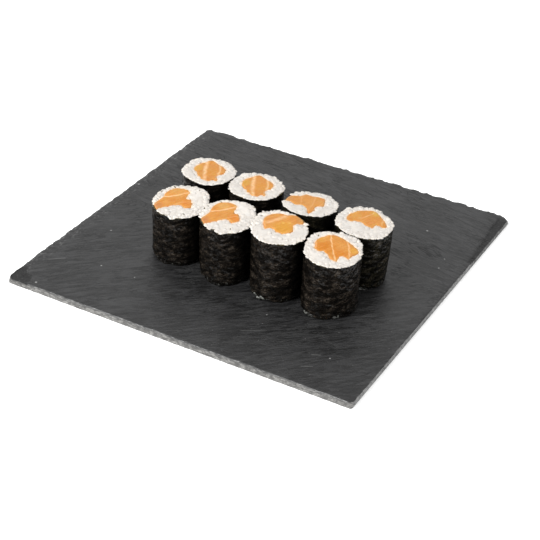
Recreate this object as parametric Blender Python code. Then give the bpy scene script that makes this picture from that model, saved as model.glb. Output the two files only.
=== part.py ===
# Eight salmon maki standing in two rows on a square, hand-chipped slate board.
#
# Every roll is three pieces: a wrapped nori sheet, the rice inside it, and a strip of
# salmon that runs through the rice from one cut face to the other.
# The board lies flat on its back, centred on the origin, with +Z up.
# Lengths are in millimetres here and become metres when a mesh is made.

import math
import random

import bmesh
import bpy
from mathutils import Vector
from mathutils import noise

MM = 0.001
CLEARANCE = 0.32  # gap between pieces that rest on or touch each other

SLATE_SIDE = 200.0
SLATE_THICK = 4.0
SLATE_STEPS = 30  # points along each side
SLATE_CHIP = (0.1, 1.0)  # how far the chipped top edge stands back
SLATE_UNDERCUT = 0.9  # how far the lower edge stands back
SLATE_WIDEST = 0.8  # height at which the board is widest
SLATE_RAGGED = 0.8  # unevenness of its lower edge
SLATE_NICKS = (0.0, 0.1, 0.3)  # how far its widest edge may stand back
SLATE_SEED = 11
CORNER_CUTS = {  # each corner's (x, y) signs: cut off its top edge, cut off its widest edge
    (-1, -1): (9.0, 1.6),
    (1, -1): (2.4, 1.0),
    (1, 1): (5.0, 3.4),
    (-1, 1): (3.0, 1.6),
}

NORI_WALL = 0.5
NORI_FLAP = 0.38  # how far the outer end of the sheet stands off the wrap
FLAP_FADE = 62.0  # degrees over which the flap settles onto the wrap
FRAY_SPREAD = 38.0  # degrees to each side over which a torn lower edge runs out
RIM_DROP = 0.75  # nori rim below the cut face
RIM_UNEVEN = 0.3
RIM_WAVE = 23.0  # degrees over which the rim rises and falls
FRAY_WAVE = 17.0
FRAY_LEAST = 0.25  # how far the lower edge is worn away from a fray
SEAM_EDGE = 0.8  # degrees to each side of the seam at which the wrap has points
RICE_SHOULDER = 0.45  # rice edge below the cut face
DENTS = 0.12
DENT_WAVES = 1.3
ROLL_STEPS = 32  # points round a roll
FACE_RINGS = (0.93, 0.5)  # rings of the uneven cut face, as shares of the rice's width
FACE_DOME = 0.7  # rice stands this high in the middle of a cut face
FACE_LUMPS = 0.45
LUMP_SIZE = 4.0
FOOT_WIDTH = 0.94  # a roll's width where it stands, against its widest
TOP_WIDTH = 0.99
SALMON_FOOT = 0.006  # share of the height at which the salmon's lower end lies
SALMON_PROUD = 0.45  # the salmon stands this far above the cut face
CHANNEL_GAP = 0.35  # between the salmon and the rice
CHANNEL_PAST = 2.0  # how far a channel open to the wrap is cut past the rice
CHANNEL_RISES = (-0.1, 1.2)  # shares of the height from which and to which it is cut
NOISE_STEP = 7.31  # keeps each roll's unevenness its own
RIM_ROW = 4.5
FRAY_ROW = 0.5
WAIST = 0.55
BARREL = ((0.0, FOOT_WIDTH), (0.1, 0.985), (WAIST, 1.0), (1.0, TOP_WIDTH))

# each material's colour and roughness
SURFACES = {
    "slate": ((0.075, 0.077, 0.078), 0.75),
    "nori": ((0.012, 0.011, 0.008), 0.45),
    "rice": ((0.86, 0.82, 0.75), 0.55),
    "salmon": ((0.83, 0.34, 0.10), 0.4),
}

# at: middle of the upper cut face; height: of that face above the board; radii: along X and Y;
# tilt: rise of the face per mm along X and Y; foot: how far the lower end is shifted;
# seam: direction of the sheet's outer end, in degrees; fray: direction and height of a torn lower edge
ROLLS = {
    "front_1": dict(at=(-37.7, -30.7), height=30.6, radii=(15.0, 15.0), tilt=(-0.040, 0.077),
                    foot=(0.0, 0.0), seam=262, fray=(225, 1.2), salmon="hook"),
    "front_2": dict(at=(-7.1, -33.7), height=33.0, radii=(14.8, 14.8), tilt=(-0.040, 0.077),
                    foot=(0.0, 0.0), seam=262, fray=(225, 0.8), salmon="hook"),
    "front_3": dict(at=(23.4, -33.3), height=35.6, radii=(15.0, 15.0), tilt=(-0.040, 0.077),
                    foot=(0.0, 0.0), seam=100, fray=(265, 0.7), salmon="block"),
    "front_4": dict(at=(53.7, -33.4), height=33.2, radii=(15.0, 15.0), tilt=(-0.045, 0.085),
                    foot=(-0.6, 0.0), seam=75, fray=(318, 2.2), salmon="fan"),
    "back_1": dict(at=(-40.2, 2.3), height=32.5, radii=(15.0, 15.0), tilt=(0.010, -0.020),
                   foot=(0.0, 0.0), seam=65, fray=(215, 0.8), salmon="slab"),
    "back_2": dict(at=(-9.8, 1.3), height=33.0, radii=(14.9, 14.9), tilt=(0.010, -0.020),
                   foot=(0.0, 0.0), seam=65, fray=(250, 0.5), salmon="slab"),
    "back_3": dict(at=(23.1, 1.0), height=33.0, radii=(15.0, 14.2), tilt=(0.030, -0.060),
                   foot=(0.0, 0.0), seam=120, fray=(280, 0.6), salmon="arrow"),
    "back_4": dict(at=(54.9, -0.4), height=32.5, radii=(15.3, 15.3), tilt=(-0.010, 0.020),
                   foot=(-1.6, 0.0), seam=95, fray=(300, 1.0), salmon="cap"),
}

# The salmon's cross-sections, anticlockwise about the middle of a roll.
SALMON = {
    "hook": [(7.2, -0.6), (5.2, 2.9), (3.4, 4.4), (1.5, 3.7), (0.5, 6.2), (0.0, 9.8), (-3.4, 10.9),
             (-6.4, 10.4), (-9.7, 8.0), (-10.9, 3.4), (-10.0, -1.5), (-10.6, -7.4), (-10.9, -10.5),
             (-8.0, -13.4), (-5.4, -9.6), (-1.0, -4.4), (1.8, -2.6), (5.2, -3.6)],
    "block": [(6.5, 1.4), (4.9, 5.0), (5.3, 8.2), (7.4, 9.6), (7.0, 12.9), (2.0, 14.6), (-2.2, 11.8),
              (-6.0, 11.3), (-9.5, 8.6), (-11.3, 4.0), (-9.6, -0.4), (-6.6, -4.6), (-4.9, -2.4),
              (-2.6, -1.8), (-0.4, -3.6), (4.4, -2.9)],
    "fan": [(10.2, -0.4), (10.9, 2.0), (12.0, 4.6), (9.6, 6.9), (3.6, 9.5), (-1.6, 10.9), (-5.8, 10.6),
            (-9.0, 7.2), (-10.8, 2.8), (-9.8, -1.4), (-8.0, -4.4), (-5.2, -5.0), (-3.7, -3.4),
            (0.3, -6.2), (4.6, -8.2), (5.9, -7.4), (5.3, -3.4), (7.6, -2.6), (10.2, -3.5)],
    "slab": [(6.6, -0.8), (7.9, 2.4), (7.0, 5.8), (4.6, 8.2), (-0.8, 10.2), (-4.2, 11.9), (-6.2, 10.8),
             (-7.0, 8.4), (-9.0, 5.2), (-9.5, 1.6), (-8.4, -2.2), (-5.2, -4.6), (-1.6, -8.3),
             (3.4, -10.0), (5.9, -9.3), (6.4, -6.4), (8.8, -7.7), (8.6, -5.6), (6.5, -3.2)],
    "arrow": [(7.0, 0.9), (5.2, 5.2), (3.7, 8.6), (0.8, 9.3), (-3.6, 8.1), (-7.4, 8.6), (-9.0, 5.4),
              (-12.1, 3.6), (-15.4, 2.3), (-16.0, -1.2), (-15.2, -4.5), (-11.0, -3.2), (-6.4, -5.5),
              (-3.2, -3.9), (0.3, -5.9), (3.8, -10.5), (4.9, -6.4), (3.2, -1.6), (5.4, -1.0)],
    "cap": [(11.6, 2.2), (8.2, 6.6), (3.6, 10.4), (0.0, 12.7), (-3.6, 11.7), (-8.4, 8.1), (-10.5, 3.6),
            (-9.9, -1.4), (-6.8, -2.8), (-4.8, -0.5), (-1.2, -0.7), (4.6, -3.0), (5.8, -2.5),
            (6.2, 1.0), (8.5, 1.0), (10.2, 0.4)],
}


def clear_scene():
    for thing in list(bpy.data.objects):
        bpy.data.objects.remove(thing, do_unlink=True)


def make_material(name, colour, roughness):
    material = bpy.data.materials.new(name)
    material.use_nodes = True
    shader = material.node_tree.nodes["Principled BSDF"]
    shader.inputs["Base Color"].default_value = (*colour, 1.0)
    shader.inputs["Roughness"].default_value = roughness
    shader.inputs["Metallic"].default_value = 0.0
    material.diffuse_color = (*colour, 1.0)
    return material


def skin(name, rings, material, tube=False):
    """A closed skin over rings of points; a tube's last ring joins its first, else both ends are capped."""
    bm = bmesh.new()
    loops = [[bm.verts.new(Vector(point) * MM) for point in ring] for ring in rings]
    pairs = list(zip(loops, loops[1:]))
    if tube:
        pairs.append((loops[-1], loops[0]))
    else:
        bm.faces.new(loops[0])
        bm.faces.new(loops[-1])
    for lower, upper in pairs:
        for i in range(len(lower)):
            j = (i + 1) % len(lower)
            bm.faces.new((lower[i], lower[j], upper[j], upper[i]))
    bmesh.ops.recalc_face_normals(bm, faces=bm.faces)
    mesh = bpy.data.meshes.new(name)
    bm.to_mesh(mesh)
    bm.free()
    mesh.shade_smooth()
    mesh.set_sharp_from_angle(angle=math.radians(35))
    thing = bpy.data.objects.new(name, mesh)
    thing.data.materials.append(material)
    bpy.context.collection.objects.link(thing)
    return thing


def ripple(x, y, seed):
    """Smooth unevenness from -1 to 1 at a place on a roll."""
    return noise.noise(Vector((x, y, seed * NOISE_STEP)))


def seed_of(name):
    return 1 + list(ROLLS).index(name)


# -- the board ---------------------------------------------------------------------------


def side_points(inset):
    """Points round the square, anticlockwise from the corner at -X -Y, standing back by inset()."""
    half = SLATE_SIDE / 2
    points = []
    for quarter in range(4):
        turn = math.radians(90 * quarter)
        for step in range(SLATE_STEPS):
            along = -half + SLATE_SIDE * step / SLATE_STEPS
            away = half - inset()
            if step == 0:
                along = -away
            x = along * math.cos(turn) + away * math.sin(turn)
            y = along * math.sin(turn) - away * math.cos(turn)
            points.append((x, y))
    return points


def cut_corner(point, cuts, which):
    """Pull a point back to the line that cuts off the corner nearest to it."""
    x, y = point
    sign_x = 1 if x > 0 else -1
    sign_y = 1 if y > 0 else -1
    over = abs(x) + abs(y) - (SLATE_SIDE - cuts[(sign_x, sign_y)][which])
    if over > 0:
        x -= sign_x * over / 2
        y -= sign_y * over / 2
    return x, y


def make_slate(material):
    rng = random.Random(SLATE_SEED)
    levels = (
        (0.0, lambda: SLATE_UNDERCUT + rng.uniform(0.0, SLATE_RAGGED), 1),
        (SLATE_WIDEST, lambda: rng.choice(SLATE_NICKS), 1),
        (SLATE_THICK, lambda: rng.uniform(*SLATE_CHIP), 0),
    )
    rings = []
    for height, inset, which in levels:
        ring = [cut_corner(point, CORNER_CUTS, which) for point in side_points(inset)]
        rings.append([(x, y, height) for x, y in ring])
    return skin("slate_board", rings, material)


# -- one roll ----------------------------------------------------------------------------


def reach(roll, seed, angle):
    """Distance from the middle of a roll to the outside of its wrap, in a direction."""
    a, b = roll["radii"]
    even = a * b / math.hypot(b * math.cos(angle), a * math.sin(angle))
    wave = ripple(DENT_WAVES * math.cos(angle), DENT_WAVES * math.sin(angle), seed)
    return even - DENTS - DENTS * wave


def barrel(rise):
    """A roll's width at a share of its height, against its widest."""
    for (low, narrow), (high, wide) in zip(BARREL, BARREL[1:]):
        if rise <= high:
            return narrow + (wide - narrow) * (rise - low) / (high - low)
    return TOP_WIDTH


def face_height(roll, x, y):
    """Height of the upper cut face over a place in the roll's own section."""
    return SLATE_THICK + roll["height"] + roll["tilt"][0] * x + roll["tilt"][1] * y


def stand(roll, x, y, width, rise, drop=0.0):
    """Place a point of the section at a fraction of the roll's height."""
    floor = SLATE_THICK + CLEARANCE
    top = face_height(roll, x, y) - drop
    shift_x = roll["foot"][0] * (1 - rise)
    shift_y = roll["foot"][1] * (1 - rise)
    return (
        roll["at"][0] + x * width + shift_x,
        roll["at"][1] + y * width + shift_y,
        floor + (top - floor) * rise,
    )


def round_angles(seam=None):
    """Even steps round the roll, with a close pair at the seam so that its edge is crisp."""
    angles = [360 * i / ROLL_STEPS for i in range(ROLL_STEPS)]
    if seam is not None:
        angles += [seam - SEAM_EDGE, seam + SEAM_EDGE]
    return sorted(angles)


def round_section(roll, seed, inset, share):
    """Points round the roll's section, at a share of the way out to the wrap."""
    points = []
    for degrees in round_angles():
        angle = math.radians(degrees)
        radius = (reach(roll, seed, angle) - inset) * share
        points.append((radius * math.cos(angle), radius * math.sin(angle)))
    return points


def flap(degrees, seam):
    """How far the sheet's outer end stands off the wrap."""
    past = (degrees - seam) % 360
    return NORI_FLAP * max(0.0, 1 - past / FLAP_FADE)


def frayed_foot(roll, degrees, seed):
    """Share of the height to which the nori's lower edge is worn away."""
    where, height = roll["fray"]
    off = abs((degrees - where + 180) % 360 - 180)
    worn = FRAY_LEAST + FRAY_LEAST * ripple(degrees / FRAY_WAVE, FRAY_ROW, seed)
    return (worn + height * max(0.0, 1 - off / FRAY_SPREAD)) / roll["height"]


def make_nori(name, roll, material):
    seed = seed_of(name)
    angles = round_angles(roll["seam"])
    rings = []
    for outside in (True, False):
        stops = BARREL if outside else BARREL[::-1]
        for stop, width in stops:
            if not outside and stop == WAIST:
                continue
            ring = []
            for degrees in angles:
                angle = math.radians(degrees)
                inset = -flap(degrees, roll["seam"]) if outside else NORI_WALL
                radius = reach(roll, seed, angle) - inset
                rise = max(stop, frayed_foot(roll, degrees, seed))
                drop = RIM_DROP + RIM_UNEVEN * ripple(degrees / RIM_WAVE, RIM_ROW, seed)
                x = radius * math.cos(angle)
                y = radius * math.sin(angle)
                ring.append(stand(roll, x, y, barrel(rise), rise, drop))
            rings.append(ring)
    return skin("nori_" + name, rings, material, tube=True)


def make_rice(name, roll, material):
    seed = seed_of(name)
    inset = NORI_WALL + CLEARANCE
    rings = []
    for rise, width in BARREL:
        if rise != WAIST:
            rings.append([stand(roll, x, y, width, rise, RICE_SHOULDER * rise)
                          for x, y in round_section(roll, seed, inset, 1.0)])
    for share in FACE_RINGS:
        ring = []
        for x, y in round_section(roll, seed, inset, share):
            lump = ripple(x / LUMP_SIZE, y / LUMP_SIZE, seed)
            crown = FACE_DOME * (1 - share * share) + FACE_LUMPS * lump
            ring.append(stand(roll, x, y, TOP_WIDTH, 1.0, -crown))
        rings.append(ring)
    return skin("rice_" + name, rings, material)


def smooth_outline(points):
    """The outline with one more point on a smooth curve between each pair."""
    curve = []
    count = len(points)
    for i in range(count):
        before, here, after, beyond = (points[(i + k) % count] for k in (-1, 0, 1, 2))
        curve.append(here)
        curve.append(tuple((9 * (here[k] + after[k]) - before[k] - beyond[k]) / 16 for k in (0, 1)))
    return curve


def salmon_outline(name, roll):
    """The salmon's section, held inside the wrap."""
    seed = seed_of(name)
    outline = []
    for x, y in smooth_outline(SALMON[roll["salmon"]]):
        limit = reach(roll, seed, math.atan2(y, x)) - NORI_WALL - CLEARANCE
        shrink = min(1.0, limit / math.hypot(x, y))
        outline.append((x * shrink, y * shrink))
    return outline


def grow_outline(name, roll, outline):
    """The outline pushed out by the clearance, and right through the rice where it meets the wrap."""
    seed = seed_of(name)
    grown = []
    count = len(outline)
    for i, (x, y) in enumerate(outline):
        back = Vector(outline[i]) - Vector(outline[i - 1])
        ahead = Vector(outline[(i + 1) % count]) - Vector(outline[i])
        along = (back.normalized() + ahead.normalized()).normalized()
        place = Vector((x, y)) + Vector((along.y, -along.x)) * CHANNEL_GAP
        limit = reach(roll, seed, math.atan2(y, x)) - NORI_WALL - CLEARANCE
        if place.length > limit - CLEARANCE:
            place *= (limit + CHANNEL_PAST) / place.length
        grown.append(tuple(place))
    return grown


def taper(rise):
    return FOOT_WIDTH + (TOP_WIDTH - FOOT_WIDTH) * rise


def make_salmon(name, roll, material):
    outline = salmon_outline(name, roll)
    foot = [stand(roll, x, y, taper(SALMON_FOOT), SALMON_FOOT) for x, y in outline]
    face = [stand(roll, x, y, taper(1.0), 1.0, -SALMON_PROUD) for x, y in outline]
    return skin("salmon_" + name, [foot, face], material)


def cut_channel(name, roll, rice, material):
    """Cut the salmon's channel through the rice, from under its foot to above its face."""
    outline = grow_outline(name, roll, salmon_outline(name, roll))
    rings = [[stand(roll, x, y, taper(rise), rise) for x, y in outline] for rise in CHANNEL_RISES]
    cutter = skin("channel_" + name, rings, material)
    cutter.hide_render = True
    cutter.display_type = "WIRE"
    cut = rice.modifiers.new("channel", "BOOLEAN")
    cut.operation = "DIFFERENCE"
    cut.solver = "EXACT"
    cut.object = cutter


def build():
    clear_scene()
    looks = {name: make_material(name, *surface) for name, surface in SURFACES.items()}
    make_slate(looks["slate"])
    for name, roll in ROLLS.items():
        make_nori(name, roll, looks["nori"])
        make_salmon(name, roll, looks["salmon"])
        cut_channel(name, roll, make_rice(name, roll, looks["rice"]), looks["salmon"])


build()
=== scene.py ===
import math
import random

import bmesh
import bpy
import numpy as np
from mathutils import Matrix, Vector, noise
from mathutils.bvhtree import BVHTree


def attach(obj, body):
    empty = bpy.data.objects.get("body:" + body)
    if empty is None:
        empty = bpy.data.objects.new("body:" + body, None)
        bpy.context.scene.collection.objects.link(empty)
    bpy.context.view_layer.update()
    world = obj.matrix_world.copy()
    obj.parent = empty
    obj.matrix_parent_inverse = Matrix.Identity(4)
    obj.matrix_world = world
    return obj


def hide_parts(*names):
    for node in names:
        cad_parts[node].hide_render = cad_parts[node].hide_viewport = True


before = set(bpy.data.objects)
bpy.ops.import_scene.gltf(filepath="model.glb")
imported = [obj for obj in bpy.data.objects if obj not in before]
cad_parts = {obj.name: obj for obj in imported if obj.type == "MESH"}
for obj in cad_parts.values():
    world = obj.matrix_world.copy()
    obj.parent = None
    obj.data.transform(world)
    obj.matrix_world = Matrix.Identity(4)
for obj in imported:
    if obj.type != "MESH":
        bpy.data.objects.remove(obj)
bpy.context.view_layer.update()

mm = 0.001
up = Vector((0, 0, 1))
boardTop = 4.0
rollRadius = 15.0


# Shader maths: sums on a signal add Math nodes

class Signal:
    def __init__(self, tree, socket=None):
        self.tree = tree
        self.socket = socket

    def node(self, kind, inputs=None, output=0, **settings):
        made = self.tree.nodes.new(kind)
        for key, value in settings.items():
            setattr(made, key, value)
        for key, value in (inputs or {}).items():
            if isinstance(value, Signal):
                self.tree.links.new(value.socket, made.inputs[key])
            else:
                made.inputs[key].default_value = value
        return Signal(self.tree, made.outputs[output])

    def math(self, operation, *values):
        return self.node("ShaderNodeMath", dict(enumerate(values)), operation=operation)

    def __add__(self, other):
        return self.math("ADD", self, other)

    def __radd__(self, other):
        return self.math("ADD", other, self)

    def __sub__(self, other):
        return self.math("SUBTRACT", self, other)

    def __rsub__(self, other):
        return self.math("SUBTRACT", other, self)

    def __mul__(self, other):
        return self.math("MULTIPLY", self, other)

    def __rmul__(self, other):
        return self.math("MULTIPLY", other, self)

    def __truediv__(self, other):
        return self.math("DIVIDE", self, other)

    def __abs__(self):
        return self.math("ABSOLUTE", self)


def fade(value, low, high, toLow=0.0, toHigh=1.0):  # smooth step
    inputs = {"Value": value, "From Min": low, "From Max": high, "To Min": toLow, "To Max": toHigh}
    return value.node("ShaderNodeMapRange", inputs, interpolation_type="SMOOTHSTEP")


def band(value, low, high, soft):  # 1 between low and high
    return fade(value, low - soft, low + soft) * fade(value, high - soft, high + soft, 1.0, 0.0)


def blend(factor, first, second):
    colours = [colour if isinstance(colour, Signal) else (*colour, 1) for colour in (first, second)]
    return factor.node("ShaderNodeMix", {0: factor, 6: colours[0], 7: colours[1]}, output=2, data_type="RGBA")


def objectPlace(tree, middle=(0, 0, 0)):  # millimetres from a middle given in millimetres
    place = Signal(tree).node("ShaderNodeTexCoord", output=3)
    return mapped(place, scale=(1000, 1000, 1000), move=tuple(-value for value in middle))


def mapped(place, scale=(1, 1, 1), turn=0.0, move=(0, 0, 0)):
    inputs = {"Vector": place, "Scale": scale, "Rotation": (0, 0, math.radians(turn)), "Location": move}
    return place.node("ShaderNodeMapping", inputs)


def split(place):
    return [place.node("ShaderNodeSeparateXYZ", {"Vector": place}, output=axis) for axis in range(3)]


def attributeAt(place, name):
    return place.node("ShaderNodeAttribute", output=2, attribute_name=name)


def awayFrom(flat, x, y):  # distance from a spot on the level
    return flat.node("ShaderNodeVectorMath", {0: flat, 1: (x, y, 0)}, output=1, operation="DISTANCE")


def noiseAt(place, scale, detail=3.0, rough=0.55, distort=0.0):
    inputs = {"Vector": place, "Scale": scale, "Detail": detail, "Roughness": rough, "Distortion": distort}
    return place.node("ShaderNodeTexNoise", inputs)


def streaks(place, turn, length, width, detail=4.0, distort=0.6):  # noise drawn out along a direction
    laid = mapped(place, turn=-turn)
    return noiseAt(mapped(laid, scale=(1 / length, 1 / width, 0.3)), 1.0, detail, 0.6, distort)


def stroke(x, y, line):  # line is its two ends, sag, width and strength
    (x0, y0), (x1, y1), sag, width, strength = line
    length = math.hypot(x1 - x0, y1 - y0)
    dx, dy = (x1 - x0) / length, (y1 - y0) / length
    along = (x * dx + y * dy - (x0 * dx + y0 * dy)) / length
    across = y * dx - x * dy - (y0 * dx - x0 * dy)
    bend = along * (1 - along) * (4 * sag)
    edge = fade(abs(across - bend), 0.1 * width, 1.35 * width, 1.0, 0.0)
    return edge * band(along, 0.0, 1.0, 0.08) * strength  # fades at its ends


def newMaterial(name):
    material = bpy.data.materials.new(name)
    material.use_nodes = True
    return material


def finishMaterial(material, colour, roughness, height, depth, coat=None, **fixed):  # depth of the bump in metres
    tree = material.node_tree
    shader = tree.nodes["Principled BSDF"]
    tree.links.new(colour.socket, shader.inputs["Base Color"])
    if isinstance(roughness, Signal):
        tree.links.new(roughness.socket, shader.inputs["Roughness"])
    else:
        shader.inputs["Roughness"].default_value = roughness
    if coat is not None:
        tree.links.new(coat.socket, shader.inputs["Coat Weight"])
    bump = height.node("ShaderNodeBump", {"Height": height, "Distance": depth, "Strength": 1.0})
    tree.links.new(bump.socket, shader.inputs["Normal"])
    for socket, value in fixed.items():
        shader.inputs[socket.replace("_", " ")].default_value = value
    return material


# Mesh helpers

def addObject(name, data):
    made = bpy.data.objects.new(name, data)
    bpy.context.scene.collection.objects.link(made)
    return made


def addPiece(name, bm, material, replaced=()):
    mesh = bpy.data.meshes.new(name)
    bm.to_mesh(mesh)
    bm.free()
    mesh.shade_smooth()
    mesh.materials.append(material)
    piece = addObject(name, mesh)
    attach(piece, "root")
    if replaced:
        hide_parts(*replaced)
    return piece


def thicken(piece, thick):  # a wall that grows inwards
    wall = piece.modifiers.new("wall", "SOLIDIFY")
    wall.thickness = thick * mm
    wall.offset = -1


def surfaceTree(mesh):  # for rays, in millimetres
    places = [vert.co / mm for vert in mesh.vertices]
    return BVHTree.FromPolygons(places, [face.vertices for face in mesh.polygons])


seedStep = Vector((3.7, 1.9, 5.3))


def ripple(x, y, z, seed=0.0):  # smooth unevenness from -1 to 1
    return noise.noise(Vector((x, y, z)) + seedStep * seed)


def smoothstep(value, low, high):
    share = min(1.0, max(0.0, (value - low) / (high - low)))
    return share * share * (3 - 2 * share)


def turnBetween(first, second):  # degrees from -180 to 180
    return (first - second + 180) % 360 - 180


def turnOf(x, y):
    return math.degrees(math.atan2(y, x))


def aimAt(turn):
    angle = math.radians(turn)
    return Vector((math.cos(angle), math.sin(angle), 0))


def hump(turn, where, width):  # 1 in one direction, less to both sides
    return math.exp(-(turnBetween(turn, where) / width) ** 2)


# Rolls, in millimetres and degrees. Swell, flare and lift are directions, amounts and widths: swell is how far the
# rice stands out over the nori, flare how far the wrap's foot spreads, lift how far one side of the face is raised.
# Fray tears the foot of the wrap, and foot is how far the whole foot stands off "at".

rolls = {
    "front_1": {"at": (-37.7, -30.7), "kind": "hook", "seam": 262, "fray": (225, 1.2),
                "flare": ((262, 0.8, 34), (305, 0.5, 22)), "lift": (67, 0.9, 30),
                "swell": ((62, 1.2, 24), (286, 0.6, 6), (270, -0.3, 6))},
    "front_2": {"at": (-7.1, -33.7), "kind": "hook", "seam": 262, "fray": (225, 0.8),
                "flare": ((285, 1.5, 36),), "lift": (67, 0.7, 30),
                "swell": ((62, 0.8, 24), (286, 0.6, 6), (270, -0.3, 6))},
    "front_3": {"at": (23.4, -33.3), "kind": "block", "seam": 100, "fray": (265, 0.7),
                "flare": ((280, 1.0, 40),), "lift": (45, -0.8, 25),
                "swell": ((156, 2.6, 13), (128, 0.8, 14), (297, -1.2, 22), (103, -0.7, 10))},
    "front_4": {"at": (53.7, -33.4), "foot": (-0.6, 0.0), "kind": "fan", "seam": 75, "fray": (318, 1.0),
                "flare": ((262, 0.9, 26), (318, -0.6, 14)), "lift": (125, 0.4, 8),
                "swell": ((152, 1.3, 20), (62, 1.5, 18), (115, -0.9, 12))},
    "back_1": {"at": (-40.2, 2.3), "kind": "slab", "seam": 65, "fray": (215, 0.8),
               "flare": (), "lift": (140, 0.5, 25),
               "swell": ((145, 1.5, 18), (308, 1.2, 18), (250, -0.9, 22), (90, 0.6, 20))},
    "back_2": {"at": (-9.8, 1.3), "kind": "slab", "seam": 65, "fray": (250, 0.5),
               "flare": (), "lift": (140, 0.5, 25),
               "swell": ((146, 1.1, 14), (224, 0.8, 16), (309, 0.6, 18), (64, -1.3, 5))},
    "back_3": {"at": (23.1, 1.0), "kind": "arrow", "seam": 120, "fray": (280, 0.6),
               "flare": (), "lift": (180, 0.0, 20),
               "swell": ((147, 0.9, 16), (212, 0.6, 20), (322, 1.2, 20), (45, -0.9, 18), (115, -0.8, 10))},
    "back_4": {"at": (54.9, -0.4), "foot": (-1.6, 0.0), "kind": "cap", "seam": 95, "fray": (300, 1.0),
               "flare": ((285, 0.3, 20), (338, 0.5, 14)), "lift": (180, 0.0, 20),
               "swell": ((150, 1.5, 16), (325, 1.5, 18), (60, -1.2, 20), (258, -1.1, 26))},
}

# A wrap is measured from "foot" over the board to "short" of the face, by rays inwards from "start"
measureSpec = {"foot": 0.35, "short": 1.3, "out": 14.0, "start": 30.0, "plain": 14.7, "rim": 0.8,
               "waist": 15.0, "proud": 0.45}


def readRoll(name, roll):  # the face plane and the wrap, measured on the frame
    spec = measureSpec
    x, y = roll["at"]
    corners = [corner.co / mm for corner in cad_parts["salmon_" + name].data.vertices]
    face = [corner for corner in corners if corner.z > spec["waist"]]
    rows = np.array([(corner.x - x, corner.y - y, 1.0) for corner in face])
    slopeX, slopeY, middle = np.linalg.lstsq(rows, np.array([corner.z for corner in face]), rcond=None)[0]
    roll["name"] = name
    roll["seed"] = 1 + list(rolls).index(name)
    roll["slope"] = (slopeX, slopeY)
    roll["middle"] = middle - spec["proud"]  # the salmon's solid stands over the rice
    roll["wrap"] = surfaceTree(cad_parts["nori_" + name].data)
    roll["radii"] = [wrapRadius(roll, turn, spec["rim"]) for turn in range(360)]
    roll["field"] = depthField(salmonOutline(roll))


def middleOf(roll):
    return Vector((*roll["at"], 0))


def axisAt(roll, rise):  # rise is 0 at the foot and 1 at the face
    x, y = (at + foot * (1 - rise) for at, foot in zip(roll["at"], roll.get("foot", (0.0, 0.0))))
    return Vector((x, y, 0))


def faceHeight(roll, x, y):
    return roll["middle"] + roll["slope"][0] * x + roll["slope"][1] * y


def lifting(roll, x, y):
    where, amount, width = roll["lift"]
    return amount * smoothstep(math.hypot(x, y), 7, 14) * hump(turnOf(x, y), where, width)


def faceLevel(roll, x, y):
    return faceHeight(roll, x, y) + lifting(roll, x, y)


def swelling(roll, turn):
    return sum(amount * hump(turn, where, width) for where, amount, width in roll["swell"])


def flaring(roll, turn):
    return sum(amount * hump(turn, where, width) for where, amount, width in roll["flare"])


def wrapRadius(roll, turn, rise):  # from the roll's axis to the outside of its wrap
    spec = measureSpec
    aim = aimAt(turn)
    axis = axisAt(roll, rise)
    top = faceHeight(roll, spec["out"] * aim.x, spec["out"] * aim.y)
    axis.z = boardTop + spec["foot"] + rise * (top - boardTop - spec["short"])
    hit = roll["wrap"].ray_cast(axis + aim * spec["start"], -aim)[0]
    return (hit - axis).length if hit else spec["plain"]


def topRadius(roll, turn):
    low = math.floor(turn)
    share = turn - low
    return roll["radii"][low % 360] * (1 - share) + roll["radii"][(low + 1) % 360] * share


def salmonShape(roll):  # the salmon's solid with its doubles merged, and its upper face
    bm = bmesh.new()
    bm.from_mesh(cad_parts["salmon_" + roll["name"]].data)
    bm.verts.layers.float.new("depth")
    bmesh.ops.remove_doubles(bm, verts=bm.verts, dist=0.01 * mm)
    bmesh.ops.dissolve_limit(bm, angle_limit=math.radians(1), verts=bm.verts, edges=bm.edges)
    return bm, max(bm.faces, key=lambda face: face.normal.z * face.calc_area())


def salmonOutline(roll):  # the corners of the salmon's face, in order
    bm, cap = salmonShape(roll)
    x, y = roll["at"]
    outline = [(corner.vert.co.x / mm - x, corner.vert.co.y / mm - y) for corner in cap.loops]
    bm.free()
    return outline


fieldHalf, fieldStep = 20.0, 0.2


def depthField(outline):  # distance inside the outline on a grid, negative outside
    places = np.arange(-fieldHalf, fieldHalf + fieldStep, fieldStep)
    x, y = np.meshgrid(places, places)
    inside = np.zeros(x.shape, bool)
    nearest = np.full(x.shape, 1e9)
    for (ax, ay), (bx, by) in zip(outline, outline[1:] + outline[:1]):
        if ay != by:
            inside ^= ((ay > y) != (by > y)) & (x < ax + (bx - ax) * (y - ay) / (by - ay))
        length = (bx - ax) ** 2 + (by - ay) ** 2
        share = np.clip(((x - ax) * (bx - ax) + (y - ay) * (by - ay)) / length, 0, 1)
        nearest = np.minimum(nearest, np.hypot(x - ax - share * (bx - ax), y - ay - share * (by - ay)))
    return np.where(inside, nearest, -nearest)


def fishDepth(roll, x, y):  # how far a place lies inside the salmon
    field = roll["field"]
    column = min(max((x + fieldHalf) / fieldStep, 0), field.shape[1] - 2)
    row = min(max((y + fieldHalf) / fieldStep, 0), field.shape[0] - 2)
    i, j = int(column), int(row)
    u, v = column - i, row - j
    low = field[j, i] * (1 - u) + field[j, i + 1] * u
    high = field[j + 1, i] * (1 - u) + field[j + 1, i + 1] * u
    return float(low * (1 - v) + high * v)


for name, roll in rolls.items():
    readRoll(name, roll)
print("rolls measured")

# Slate board: a relief grid with a chipped edge; sides run -Y, +X, +Y, -X

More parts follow.
